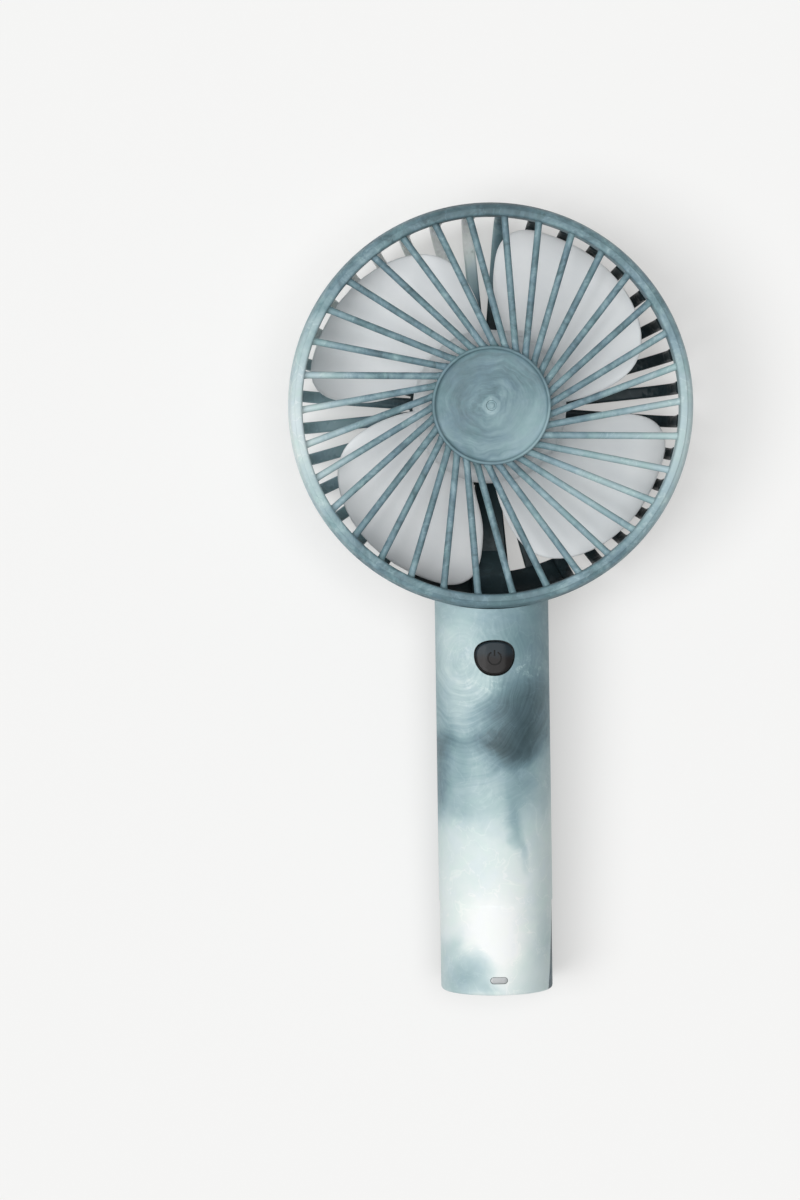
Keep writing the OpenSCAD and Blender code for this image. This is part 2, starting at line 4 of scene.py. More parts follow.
import bmesh
import bpy
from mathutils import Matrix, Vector


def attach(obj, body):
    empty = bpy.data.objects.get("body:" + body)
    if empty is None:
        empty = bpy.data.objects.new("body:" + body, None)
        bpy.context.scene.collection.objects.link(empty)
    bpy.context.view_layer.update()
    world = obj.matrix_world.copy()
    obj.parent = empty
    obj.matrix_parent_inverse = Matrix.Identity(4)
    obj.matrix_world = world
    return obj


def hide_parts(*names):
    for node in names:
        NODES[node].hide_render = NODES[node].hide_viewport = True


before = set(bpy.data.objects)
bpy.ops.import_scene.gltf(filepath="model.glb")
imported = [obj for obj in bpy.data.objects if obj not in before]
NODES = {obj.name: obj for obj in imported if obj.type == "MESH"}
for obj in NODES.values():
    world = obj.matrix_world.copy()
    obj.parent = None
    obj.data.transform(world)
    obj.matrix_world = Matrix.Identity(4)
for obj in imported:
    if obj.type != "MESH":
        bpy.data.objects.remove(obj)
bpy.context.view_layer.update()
MM = 0.001

# Place of the head's centre along Y and height of the handle's axis, in millimetres
HEAD_Y = 50.5
AXIS_Z = 19.0


# ---- Colour and node helpers ----

GAIN = 0.86  # how much darker a surface is than it looks under this light


def colour(r, g, b, gain=GAIN):
    """A colour as it looks in daylight, from 0 to 255, as a linear albedo."""
    out = []
    for c in (r, g, b):
        c /= 255
        c = c / 12.92 if c <= 0.04045 else ((c + 0.055) / 1.055) ** 2.4
        out.append(c * gain)
    return (*out, 1.0)


class Graph:
    """One material's node tree, with short calls for the nodes used here."""

    def __init__(self, name):
        self.material = bpy.data.materials.new(name)
        self.material.use_nodes = True
        self.tree = self.material.node_tree
        self.tree.nodes.clear()
        self.out = self.add("ShaderNodeOutputMaterial")
        here = self.add("ShaderNodeTexCoord").outputs["Object"]
        self.place = self.vector("MULTIPLY_ADD", here, (1000,) * 3, (0, -HEAD_Y, -AXIS_Z))

    def add(self, kind, inputs=None, **settings):
        node = self.tree.nodes.new(kind)
        for key, value in settings.items():
            setattr(node, key, value)
        for key, value in (inputs or {}).items():
            self.put(node.inputs[key], value)
        return node

    def put(self, socket, value):
        if isinstance(value, bpy.types.NodeSocket):
            self.tree.links.new(value, socket)
        else:
            socket.default_value = value

    def math(self, operation, a, b=0.0, c=0.0, clamp=False):
        inputs = {0: a, 1: b, 2: c}
        return self.add("ShaderNodeMath", inputs, operation=operation, use_clamp=clamp).outputs[0]

    def vector(self, operation, a, b=(0, 0, 0), c=(0, 0, 0)):
        node = self.add("ShaderNodeVectorMath", {0: a, 1: b, 2: c}, operation=operation)
        return node.outputs["Value" if operation in ("LENGTH", "DISTANCE") else "Vector"]

    def noise(self, place, scale, detail=3.0, rough=0.5, distortion=0.0, output="Fac"):
        inputs = {"Vector": place, "Scale": scale, "Detail": detail,
                  "Roughness": rough, "Distortion": distortion}
        return self.add("ShaderNodeTexNoise", inputs).outputs[output]

    def warp(self, place, scale, amount, detail=2.0):
        """The place moved by up to about amount in each direction."""
        shift = self.noise(place, scale, detail, output="Color")
        shift = self.vector("SUBTRACT", shift, (0.5, 0.5, 0.5))
        return self.vector("MULTIPLY_ADD", shift, (amount * 2,) * 3, place)

    def spread(self, value, low, high, out_low=0.0, out_high=1.0):
        inputs = {"Value": value, "From Min": low, "From Max": high,
                  "To Min": out_low, "To Max": out_high}
        node = self.add("ShaderNodeMapRange", inputs, interpolation_type="SMOOTHSTEP")
        return node.outputs["Result"]

    def mix(self, share, a, b):
        return self.add("ShaderNodeMix", {0: share, 2: a, 3: b}, data_type="FLOAT").outputs[0]

    def mix_colour(self, share, a, b, blend="MIX"):
        node = self.add("ShaderNodeMix", {0: share, 6: a, 7: b}, data_type="RGBA", blend_type=blend)
        return node.outputs[2]

    def spot(self, place, x, y, rx, ry, turn=0.0, strength=1.0, z=0.0, rz=300.0):
        """A soft ellipse, strength at its middle and 0 at its edge."""
        inputs = {"Vector": place, "Location": (x, y, z), "Scale": (rx, ry, rz),
                  "Rotation": (0, 0, math.radians(turn))}
        local = self.add("ShaderNodeMapping", inputs, vector_type="TEXTURE").outputs[0]
        ball = self.add("ShaderNodeTexGradient", {"Vector": local}, gradient_type="SPHERICAL")
        return self.spread(ball.outputs["Fac"], 0.0, 1.0, 0.0, strength)

    def paint(self, place, tone, spots):
        """The tone with soft spots laid over it: x, y, radii, turn, tone and strength."""
        for x, y, rx, ry, turn, value, strength in spots:
            tone = self.mix(self.spot(place, x, y, rx, ry, turn, strength), tone, value)
        return tone

    def ramp(self, value, stops):
        node = self.add("ShaderNodeValToRGB", {"Fac": value})
        marks = node.color_ramp.elements
        while len(marks) < len(stops):
            marks.new(0.5)
        for mark, (position, shade) in zip(marks, stops):
            mark.position = position
            mark.color = shade
        return node.outputs["Color"]

    def bump(self, height, strength, distance):
        inputs = {"Height": height, "Strength": strength, "Distance": distance}
        return self.add("ShaderNodeBump", inputs).outputs["Normal"]

    def shader(self, inputs):
        node = self.add("ShaderNodeBsdfPrincipled", inputs)
        self.tree.links.new(node.outputs[0], self.out.inputs["Surface"])
        return self.material


# ---- Marbled plastic ----

MARBLE_GAIN = 0.91
MARBLE = [
    (0.00, colour(18, 26, 29, MARBLE_GAIN)),
    (0.18, colour(48, 66, 71, MARBLE_GAIN)),
    (0.34, colour(80, 102, 109, MARBLE_GAIN)),
    (0.50, colour(114, 142, 151, MARBLE_GAIN)),
    (0.65, colour(150, 177, 183, MARBLE_GAIN)),
    (0.80, colour(188, 209, 211, MARBLE_GAIN)),
    (0.92, colour(222, 234, 233, MARBLE_GAIN)),
    (1.00, colour(246, 249, 247, MARBLE_GAIN)),
]


def marbled(name, pattern, roughness=0.5, bump=0.05, tint=1.0):
    """Swirled plastic. The pattern gives the tone from 0, near black, to 1, near white."""
    g = Graph(name)
    tone = pattern(g)
    shade = g.ramp(tone, MARBLE)
    patch = g.noise(g.warp(g.place, 0.11, 5.0), 0.17, 2.0)
    hue = g.ramp(patch, [
        (0.32, (0.93, 1.03, 0.96, 1)), (0.5, (1, 1, 1, 1)), (0.68, (0.99, 0.98, 1.07, 1)),
    ])
    shade = g.mix_colour(tint, shade, hue, "MULTIPLY")
    wear = g.noise(g.place, 0.9, 4.0, 0.6)
    grain = g.noise(g.place, 5.5, 2.0, 0.5)
    return g.shader({
        "Base Color": shade,
        "Roughness": g.spread(wear, 0.3, 0.7, roughness - 0.07, roughness + 0.08),
        "Normal": g.bump(grain, bump, 0.0002),
        "Specular IOR Level": 0.28,
    })


def veins(g, place, scale, width, depth):
    """Thin wandering lines, from 0 to depth at a line's middle."""
    field = g.noise(place, scale, 3.0, 0.55, 0.6)
    ridge = g.math("ABSOLUTE", g.math("SUBTRACT", field, 0.5))
    return g.spread(ridge, 0.0, width, depth, 0.0)


def swirl(g, place, x, y, stretch, rings, arms):
    """Noise drawn out along rings round a centre, from 0 to 1."""
    local = g.vector("SUBTRACT", place, (x, y, 0))
    local = g.vector("MULTIPLY", local, (1, 1 / stretch, 0))
    split = g.add("ShaderNodeSeparateXYZ", {0: local})
    angle = g.math("ARCTAN2", split.outputs[1], split.outputs[0])
    away = g.vector("LENGTH", local)
    side = g.math("MULTIPLY", g.math("SINE", angle), arms)
    other = g.math("MULTIPLY", g.math("COSINE", angle), arms)
    field = g.add("ShaderNodeCombineXYZ", {0: g.math("MULTIPLY", away, rings), 1: side, 2: other})
    return g.noise(field.outputs[0], 1.0, 4.0, 0.6)


def handle_pattern(g):
    soft = g.warp(g.place, 0.06, 5.0)
    fine = g.warp(soft, 0.35, 1.3, 4.0)
    tone = g.paint(fine, 0.60, [
        (11, -62, 13, 28, 0, 0.52, 0.9),
        (-9, -64, 14, 28, 12, 0.81, 0.95),
        (-6.5, -77, 11, 14, 0, 0.82, 0.8),
        (1.5, -79, 10, 14, -15, 0.47, 1.0),
        (8.5, -82, 11, 18, -22, 0.30, 1.0),
        (1.5, -88.5, 19, 8, 12, 0.27, 1.0),
        (-14, -91, 7, 8, 0, 0.33, 0.85),
        (-7, -92, 9, 6, 0, 0.74, 0.8),
        (-5, -99, 14, 7, 0, 0.78, 0.7),
        (9.5, -98.5, 10, 11, 0, 0.57, 0.9),
        (-15.5, -101, 5, 13, -8, 0.40, 0.9),
    ])
    down = g.math("MULTIPLY", g.add("ShaderNodeSeparateXYZ", {0: fine}).outputs[1], -1.0)
    tone = g.mix(g.spread(down, 99, 115), tone, 0.84)
    tone = g.paint(fine, tone, [
        (-2, -134, 19, 44, 0, 1.03, 1.0),
        (-4, -118, 12, 20, 0, 0.88, 0.7),
        (14.5, -130, 9, 60, 0, 0.87, 0.9),
        (-16, -136, 6, 30, 0, 0.95, 0.9),
        (5.6, -107, 2.8, 16, 4, 0.62, 0.9),
        (12, -140, 6, 10, 0, 0.74, 0.4),
        (-9.5, -149.5, 12, 9, 20, 0.69, 1.0),
        (-13, -143, 4, 8, -25, 0.76, 0.7),
        (-3, -152, 6, 4, 0, 0.70, 0.7),
    ])
    rings = swirl(g, g.warp(g.place, 0.16, 1.4, 0.0), -8.5, -66, 1.35, 1.5, 0.8)
    reach = g.spot(g.place, -3, -78, 28, 36, 0, 0.34)
    tone = g.math("MULTIPLY_ADD", g.math("SUBTRACT", rings, 0.5), reach, tone)
    cloud = g.noise(fine, 0.14, 5.0, 0.6)
    calm = g.spread(down, 100, 122, 0.17, 0.05)
    tone = g.math("MULTIPLY_ADD", g.math("SUBTRACT", cloud, 0.5), calm, tone)
    wisps = g.spread(g.noise(g.warp(g.place, 0.3, 3.0, 5.0), 0.35, 5.0, 0.65), 0.5, 0.72)
    near = g.math("ADD", g.spot(g.place, 9.5, -68, 6.5, 5, 20, 0.42),
                  g.spot(g.place, -1.5, -72, 8, 4.5, 10, 0.2))
    tone = g.math("MULTIPLY_ADD", wisps, near, tone)
    return g.math("MULTIPLY_ADD", veins(g, soft, 0.12, 0.02, 1.0), 0.03, tone, clamp=True)


def rim_tone(g, fine):
    """Mottled tone of the ring, the bars and the rim band."""
    blot = g.noise(fine, 0.22, 4.0, 0.62)
    speck = g.noise(fine, 0.75, 3.0, 0.6)
    tone = g.math("MULTIPLY_ADD", g.math("SUBTRACT", blot, 0.5), 0.55, 0.49)
    tone = g.math("MULTIPLY_ADD", g.math("SUBTRACT", speck, 0.5), 0.26, tone)
    return g.paint(fine, tone, [
        (-56, -5, 34, 52, 0, 0.93, 1.0),
        (27, -20, 26, 24, 0, 0.72, 0.85),
        (54, -10, 40, 46, 0, 0.84, 0.9),
        (0, 53, 44, 12, 0, 0.30, 0.8),
        (4, -52, 32, 9, 0, 0.44, 0.8),
    ]), blot


def front_pattern(g):
    soft = g.warp(g.place, 0.05, 6.0)
    fine = g.warp(soft, 0.3, 1.6, 4.0)
    tone, blot = rim_tone(g, fine)
    away = g.vector("LENGTH", g.vector("MULTIPLY", g.place, (1, 1, 0)))
    rings = swirl(g, g.warp(g.place, 0.12, 3.0), -1, 0.5, 0.85, 0.5, 0.8)
    disc = g.math("MULTIPLY_ADD", g.math("SUBTRACT", rings, 0.5), 0.50, 0.49)
    disc = g.math("MULTIPLY_ADD", g.math("SUBTRACT", blot, 0.5), 0.16, disc)
    disc = g.paint(fine, disc, [
        (9, -7, 17, 17, 0, 0.68, 0.75), (-8, 8, 15, 9, 30, 0.40, 0.6), (-8, -4, 8, 8, 0, 0.40, 0.5),
    ])
    disc = g.math("ADD", disc, g.spread(away, 2.1, 2.7, 0.10, 0.0))
    lines = veins(g, fine, 0.12, 0.02, 1.0)
    tone = g.math("MULTIPLY_ADD", lines, 0.06, tone)
    return g.math("ADD", g.mix(g.spread(away, 15.0, 15.6), disc, tone), 0.0, clamp=True)


def rear_pattern(g):
    soft = g.warp(g.place, 0.05, 8.0)
    fine = g.warp(soft, 0.25, 2.0, 4.0)
    cloud = g.noise(fine, 0.10, 4.0, 0.55)
    tone = g.math("MULTIPLY_ADD", g.math("SUBTRACT", cloud, 0.5), 0.16, 0.10)
    x, y, z = g.add("ShaderNodeSeparateXYZ", {0: soft}).outputs
    left = g.spread(x, -13, -42)
    tone = g.mix(left, tone, 0.60)
    # Painted light: the basket's top left is made near white. This is partly the plastic's paler
    # marble there and partly painted light standing in for light that the ring shades off it.
    toward = g.math("MULTIPLY_ADD", x, -0.35, y)
    top = g.math("MULTIPLY", g.spread(toward, 22, 47), g.spread(x, 7, -1))
    tone = g.mix(top, tone, 1.0)
    tone = g.math("MULTIPLY_ADD", veins(g, fine, 0.10, 0.02, 1.0), 0.05, tone)
    away = g.vector("LENGTH", g.vector("MULTIPLY", g.place, (1, 1, 0)))
    height = g.add("ShaderNodeSeparateXYZ", {0: g.place}).outputs[2]
    band = g.math("MULTIPLY", g.spread(away, 50.8, 51.4), g.spread(height, 0.2, 1.2))
    rim, _ = rim_tone(g, g.warp(soft, 0.3, 1.6, 4.0))
    return g.math("ADD", g.mix(band, tone, rim), 0.0, clamp=True)


def rear_shell_pattern(g):
    soft = g.warp(g.place, 0.05, 8.0)
    fine = g.warp(soft, 0.25, 2.0, 4.0)
    rings = swirl(g, g.warp(g.place, 0.1, 3.0), 4, -100, 2.2, 0.45, 0.8)
    tone = g.math("MULTIPLY_ADD", g.math("SUBTRACT", rings, 0.5), 0.5, 0.34)
    tone = g.paint(fine, tone, [
        (0, -70, 20, 22, 0, 0.22, 0.8),
        (-4, -118, 12, 26, 10, 0.62, 0.7),
        (12, -140, 8, 34, 0, 0.26, 0.8),
    ])
    return g.math("MULTIPLY_ADD", veins(g, fine, 0.10, 0.02, 1.0), 0.08, tone, clamp=True)


# ---- Other materials ----

def plain(name, base, second, scale=0.4, roughness=0.4, spread=0.1, metallic=0.0,
          bump=0.05, grain=4.0):
    """An even material whose colour, roughness and surface vary a little."""
    g = Graph(name)
    cloud = g.noise(g.warp(g.place, scale, 1.0), scale, 4.0, 0.55)
    shade = g.mix_colour(g.spread(cloud, 0.3, 0.7), base, second)
    wear = g.noise(g.place, scale * 3, 4.0, 0.6)
    return g.shader({
        "Base Color": shade,
        "Roughness": g.spread(wear, 0.3, 0.7, roughness - spread, roughness + spread),
        "Metallic": metallic,
        "Normal": g.bump(g.noise(g.place, grain, 2.0), bump, 0.0002),
    })


def glossy_black():
    """Polished dark plastic, black in the symbol's groove as painted shade, with a painted
    reflection that makes it lighter and bluer toward the head.
    """
    g = Graph("gloss_black_plastic")
    x, y, z = g.add("ShaderNodeSeparateXYZ", {0: g.place}).outputs
    flat = g.add("ShaderNodeCombineXYZ", {0: x, 1: z}).outputs[0]
    depth = g.math("SUBTRACT", 15.3, g.vector("LENGTH", flat))
    middle = g.vector("SUBTRACT", g.place, (0, -65.4, 15))
    # Painted shade: a mask of the symbol's engraved groove, whose colour is made near black below.
    groove = g.math("MULTIPLY", g.spread(depth, 0.01, 0.06),
                    g.spread(g.vector("LENGTH", middle), 2.9, 2.4))
    cloud = g.noise(g.warp(g.place, 0.3, 1.0), 0.3, 4.0, 0.55)
    # Painted reflection: the noise is tilted by the place along the handle, so the part toward the
    # head turns lighter and bluer.
    cloud = g.math("MULTIPLY_ADD", g.math("SUBTRACT", cloud, 0.5), 3.0, g.math("ADD", y, 64.6))
    shade = g.mix_colour(g.spread(cloud, -1.2, 1.2), colour(42, 40, 40), colour(44, 54, 60))
    shade = g.mix_colour(groove, shade, colour(2, 2, 2))
    wear = g.noise(g.place, 0.9, 4.0, 0.6)
    return g.shader({
        "Base Color": shade,
        "Roughness": g.spread(wear, 0.3, 0.7, 0.14, 0.22),
        "Normal": g.bump(g.noise(g.place, 4.0, 2.0), 0.04, 0.0002),
        "Specular IOR Level": 0.10,
    })


gloss_black = glossy_black()
white_plastic = plain("white_plastic", colour(243, 245, 246), colour(236, 239, 241), 0.08, 0.5, 0.05)
black_plastic = plain("black_plastic", colour(30, 31, 33), colour(38, 39, 42), 0.5, 0.45)
lens = plain("lens_plastic", colour(172, 176, 177), colour(184, 187, 188), 0.6, 0.3, 0.05)
steel = plain("steel", colour(176, 180, 184), colour(160, 164, 169), 0.5, 0.3, 0.08, 1.0)
tinned = plain("tinned_metal", colour(190, 192, 192), colour(170, 172, 172), 0.8, 0.35, 0.1, 1.0)
bronze = plain("bronze", colour(176, 128, 74), colour(150, 104, 58), 0.8, 0.4, 0.1, 1.0)
copper = plain("copper_wire", colour(196, 108, 60), colour(164, 82, 44), 0.8, 0.35, 0.1, 1.0)
magnet = plain("magnet", colour(62, 62, 64), colour(48, 48, 50), 1.2, 0.7, 0.1)
board = plain("board", colour(34, 96, 62), colour(26, 80, 52), 0.6, 0.4, 0.06)
cell_sleeve = plain("cell_sleeve", colour(52, 110, 160), colour(44, 98, 148), 0.2, 0.3, 0.05)
foam = plain("foam", colour(70, 72, 74), colour(52, 54, 56), 1.5, 0.9, 0.05, bump=0.5)
red_lead = plain("red_lead", colour(176, 34, 30), colour(158, 28, 26), 0.6, 0.45)
black_lead = plain("black_lead", colour(30, 30, 32), colour(38, 38, 40), 0.6, 0.45)

handle_marble = marbled("handle_marble", handle_pattern, tint=0.25)
front_marble = marbled("front_marble", front_pattern, tint=0.45)
rear_marble = marbled("rear_marble", rear_pattern, tint=0.45)
rear_shell_marble = marbled("rear_shell_marble", rear_shell_pattern)

MATERIALS = {
    "front_grille": front_marble, "rear_grille": rear_marble, "motor_back_cover": rear_marble,
    "handle_front_shell": handle_marble, "handle_rear_shell": rear_shell_marble,
    "impeller": white_plastic, "power_button": gloss_black, "indicator_lens": lens,
    "motor_can": steel, "motor_end_cap": black_plastic, "motor_terminals": tinned,
    "motor_shaft": steel, "motor_front_bush": bronze, "motor_rear_bush": bronze,
    "motor_magnets": magnet, "armature_core": steel, "armature_windings": copper,
    "commutator": copper, "motor_brushes": bronze, "motor_screws": steel,
    "shell_screws": steel, "switch_plunger": black_plastic, "switch_body": black_plastic,
    "circuit_board": board, "controller_chip": black_plastic, "motor_transistor": black_plastic,
    "board_screws": steel, "battery_cell": cell_sleeve, "battery_tab_positive": tinned,
    "battery_tab_negative": tinned, "battery_pads": foam, "charge_board": board,
    "charge_socket": tinned, "charger_chip": black_plastic, "indicator_led": lens,
    "motor_lead_red": red_lead, "motor_lead_black": black_lead, "battery_lead_red": red_lead,
    "battery_lead_black": black_lead, "charge_lead_red": red_lead,
    "charge_lead_black": black_lead,
}
for node_name, node in NODES.items():
    node.data.materials.clear()
    node.data.materials.append(MATERIALS[node_name])


# ---- Mesh helpers ----

SHARP_ANGLE = 35.0  # degrees between two faces from which their edge counts as sharp
BEVEL_SEGMENTS = 3


def arc(x, y, radius, start, end, steps=6):
    """Points on an arc, with its angles in degrees."""
    angles = [math.radians(start + (end - start) * i / steps) for i in range(steps + 1)]
    return [(x + radius * math.cos(a), y + radius * math.sin(a)) for a in angles]


def lathe(profile, steps=256, start=0.0, sweep=360.0):
    """A closed outline of radius and height, turned round the Z axis."""
    whole = sweep >= 360
    rings = steps if whole else steps + 1
    count = len(profile)
    points = []
    for i in range(rings):
        a = math.radians(start + sweep * i / steps)
        points += [(r * math.cos(a), r * math.sin(a), z) for r, z in profile]
    faces = []
    for i in range(steps):
        here, there = i * count, (i + 1) % rings * count
        for k in range(count):
            m = (k + 1) % count
            faces.append((here + k, here + m, there + m, there + k))
    if not whole:
        faces.append(tuple(range(count)))
        faces.append(tuple(steps * count + k for k in range(count)))
    return points, faces


def sweep_rings(rings):
    """A tube through rings of points, closed at both ends."""
    count = len(rings[0])
    points = [tuple(p) for ring in rings for p in ring]
    faces = []
    for i in range(len(rings) - 1):
        for k in range(count):
            m = (k + 1) % count
            faces.append((i * count + k, i * count + m, (i + 1) * count + m, (i + 1) * count + k))
    last = (len(rings) - 1) * count
    faces.append(tuple(range(count)))
    faces.append(tuple(last + k for k in range(count)))
    return points, faces


def turned(shape, degrees):
    a = math.radians(degrees)
    c, s = math.cos(a), math.sin(a)
    return [(c * x - s * y, s * x + c * y, z) for x, y, z in shape[0]], shape[1]


def joined(shapes):
    """Several shapes that don't touch, as one."""
    points, faces = [], []
    for some, sides in shapes:
        base = len(points)
        points += some
        faces += [tuple(base + i for i in side) for side in sides]
    return points, faces


def at_head(points):
    return [(x * MM, (y + HEAD_Y) * MM, z * MM) for x, y, z in points]


def make_object(name, shape, place=at_head):
    mesh = bpy.data.meshes.new(name)
    mesh.from_pydata(place(shape[0]), [], shape[1])
    tidy = bmesh.new()
    tidy.from_mesh(mesh)
    bmesh.ops.remove_doubles(tidy, verts=tidy.verts, dist=1e-7)
    bmesh.ops.dissolve_degenerate(tidy, edges=tidy.edges, dist=1e-8)
    bmesh.ops.recalc_face_normals(tidy, faces=tidy.faces)
    tidy.to_mesh(mesh)
    tidy.free()
    made = bpy.data.objects.new(name, mesh)
    bpy.context.scene.collection.objects.link(made)
    return made


def settle(made):
    """Applies the object's modifiers to its mesh."""
    bpy.context.view_layer.update()
    view = made.evaluated_get(bpy.context.evaluated_depsgraph_get())
    mesh = bpy.data.meshes.new_from_object(view)
    made.modifiers.clear()
    made.data = mesh


def combine(made, others, operation="UNION"):
    for other in others:
        cut = made.modifiers.new("combine", "BOOLEAN")
        cut.object = other
        cut.operation = operation
        cut.solver = "MANIFOLD"
        settle(made)
        bpy.data.objects.remove(other)
    return made


def finish_piece(made, body, nodes, material, crease=SHARP_ANGLE):
    """Smooth shading with creases, one material, and the piece's place in the frame."""
    mesh = made.data
    mesh.shade_smooth()
    mesh.set_sharp_from_angle(angle=math.radians(crease))
    mesh.materials.clear()
    mesh.materials.append(material)
    made.name = nodes[0] + "_piece"
    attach(made, body)
    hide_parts(*nodes)
    return made


def softened(name, width, clamp=False):
    """A copy of a CAD node with its sharp edges rounded. A width of 0 leaves them sharp."""
    shape = bmesh.new()
    shape.from_mesh(NODES[name].data)
    bmesh.ops.remove_doubles(shape, verts=shape.verts, dist=1e-6)
    bmesh.ops.dissolve_limit(shape, angle_limit=math.radians(0.6), verts=shape.verts,
                             edges=shape.edges, delimit={"NORMAL"})
    weight = shape.edges.layers.float.new("bevel_weight_edge")
    for edge in shape.edges:
        sharp = edge.calc_face_angle(0) > math.radians(SHARP_ANGLE)
        edge[weight] = 1.0 if sharp else 0.0
    mesh = bpy.data.meshes.new(name + "_piece")
    shape.to_mesh(mesh)
    shape.free()
    made = bpy.data.objects.new(name + "_piece", mesh)
    bpy.context.scene.collection.objects.link(made)
    if width > 0:
        bevel = made.modifiers.new("bevel", "BEVEL")
        bevel.width = width * MM
        bevel.segments = BEVEL_SEGMENTS
        bevel.limit_method = "WEIGHT"
        bevel.use_clamp_overlap = clamp
        settle(made)
    return made


# ---- Impeller ----

def blade(steps=30, rings=26):
    """One blade from the hub's wall to its round tip, with rounded edges and a thick root."""
    root, tip = 19.2, 48.2
    sides = {1: [], -1: []}
    for i in range(rings + 1):
        q = math.sin(math.pi / 2 * i / rings)
        closing = 1 - math.sqrt(max(0.0, 1 - q ** 7))
        front = 2.3 + 17 * q ** 1.2 + 43.7 * closing
        back = 77 + 10 * math.sin(math.pi / 2 * min(1.0, 2 * q)) - 13 * closing
        r = root + (tip - root) * q
        flare = 0.9 * max(0.0, 1 - q / 0.065) ** 2
        for j in range(steps + 1):
            c = (1 - math.cos(math.pi * j / steps)) / 2
            a = front + (back - front) * c
            t = a / 85
            rounding = math.sqrt(max(0.0, 1 - abs(2 * c - 1) ** 36))
            rounding *= math.sqrt(max(0.0, 1 - q ** 60))
            half = (0.65 - 0.2 * q + flare) * rounding
            mean = 28 - 12.4 * t + 2.4 * t * (1 - t)
            x, y = r * math.cos(math.radians(a)), r * math.sin(math.radians(a))
            for side in (1, -1):
                sides[side].append((x, y, mean + side * half))
    width = steps + 1
    base = len(sides[1])
    points = sides[1] + sides[-1]
    faces = []
    for i in range(rings):
        for j in range(steps):
            k = i * width + j
            faces.append((k, k + 1, k + width + 1, k + width))
            faces.append((base + k, base + k + width, base + k + width + 1, base + k + 1))
    faces.append(tuple([j for j in range(width)] + [base + j for j in range(width - 1, -1, -1)]))
    return points, faces


def make_impeller():
    hub = make_object("impeller_hub", lathe(
        [(1.02, 19.4), (1.02, 28.4), (1.3, 28.8), (6, 28.95), (17.4, 29.4)]
        + arc(17.5, 26.9, 2.5, 90, 0, 8)
        + [(20, 15.3), (19.8, 15), (18.7, 15), (18.5, 15.3), (18.5, 26.2)]
        + arc(17.1, 26.4, 1.4, 0, 90, 5)
        + [(6, 27.35), (4.4, 27.2), (3.6, 26.6), (3.2, 25.6), (3.2, 19.8), (3.0, 19.4)], 192))
    blades = [make_object("blade", turned(blade(), 90 * i)) for i in range(4)]
    combine(hub, blades)
    finish_piece(hub, "rotor", ["impeller"], white_plastic)


# ---- Front grille ----

FRONT_RIBS = 34
FRONT_TURN = -1.3  # degrees


def front_rib():
    """A round bar that passes beside the centre and swells where it meets the disc and the ring."""
    radius, offset, height = 0.9, 7.5, 35.4
    inner = math.sqrt(14.4 ** 2 - offset ** 2)
    outer = math.sqrt(49.6 ** 2 - offset ** 2)
    disc_wall = math.sqrt(15.4 ** 2 - offset ** 2)
    ring_wall = math.sqrt(48.8 ** 2 - offset ** 2)
    places = [inner, disc_wall, disc_wall + 0.2, disc_wall + 0.45, disc_wall + 0.8, disc_wall + 1.3]
    places += [disc_wall + 1.3 + (ring_wall - disc_wall - 2.6) * k / 8 for k in range(1, 8)]
    places += [ring_wall - 1.3, ring_wall - 0.8, ring_wall - 0.45, ring_wall - 0.2, ring_wall, outer]
    rings = []
    for x in places:
        away = max(0.0, min(x - disc_wall, ring_wall - x))
        size = radius + 0.14 * math.exp(-away / 0.38)
        rings.append([(x, -offset + size * c, height + size * s)
                      for c, s in arc(0, 0, 1, 0, 360 - 360 / 20, 19)])
    return sweep_rings(rings)


def make_front_grille():
    ring = make_object("front_ring", lathe(
        [(48.8, 33.4)] + arc(49.45, 37.35, 0.65, 180, 90, 5)
        + [(50.5, 38)] + arc(50.5, 37.85, 0.15, 90, 0, 3) + [(50.72, 37.72)]
        + arc(50.2, 35.9, 1.8, 68, 0, 8)
        + [(52.02, 35.0), (52.2, 34.4), (52.45, 33.9), (52.52, 33.4), (52.52, 31.6), (52.3, 31.3),
           (50.5, 31.2), (50.5, 29.2), (50.95, 28.8), (50.5, 28.4),
           (50.5, 27.4), (50.3, 27.2), (49.5, 27.2), (49.3, 27.4), (49.3, 32.9)], 288))
    disc = make_object("front_disc", lathe(
        [(0, 35.6), (0, 36.98), (0.35, 36.97), (0.62, 36.9), (0.85, 36.78), (0.9, 36.5),
         (1.2, 36.5), (1.26, 36.85), (1.4, 37.0), (2.3, 37.0), (2.45, 36.94), (2.6, 36.9),
         (8.6, 36.9), (8.75, 36.86), (8.9, 36.84), (13.7, 36.84), (14.1, 36.92),
         (14.4, 37.15), (14.55, 37.5)]
        + arc(14.95, 37.5, 0.42, 165, 0, 8)
        + [(15.4, 34.5), (15.2, 34.2), (14.3, 34.2), (14.1, 34.5), (14.1, 35.4), (13.9, 35.6)], 192))
    around = [turned(front_rib(), i * 360 / FRONT_RIBS + FRONT_TURN) for i in range(FRONT_RIBS)]
    ribs = make_object("front_ribs", joined(around))
    combine(ring, [ribs, disc])
    finish_piece(ring, "housing", ["front_grille"], front_marble)


# ---- Rear grille ----

REAR_BARS = 36
REAR_TURN = 5.2  # degrees
NECK_SPAN = (262, 278)  # the neck takes the place of a bar between these angles
COLLAR_SPAN = (244, 295)  # bars between these angles end at the collar
SHORT_REACH = 44.0
FULL_REACH = 52.0


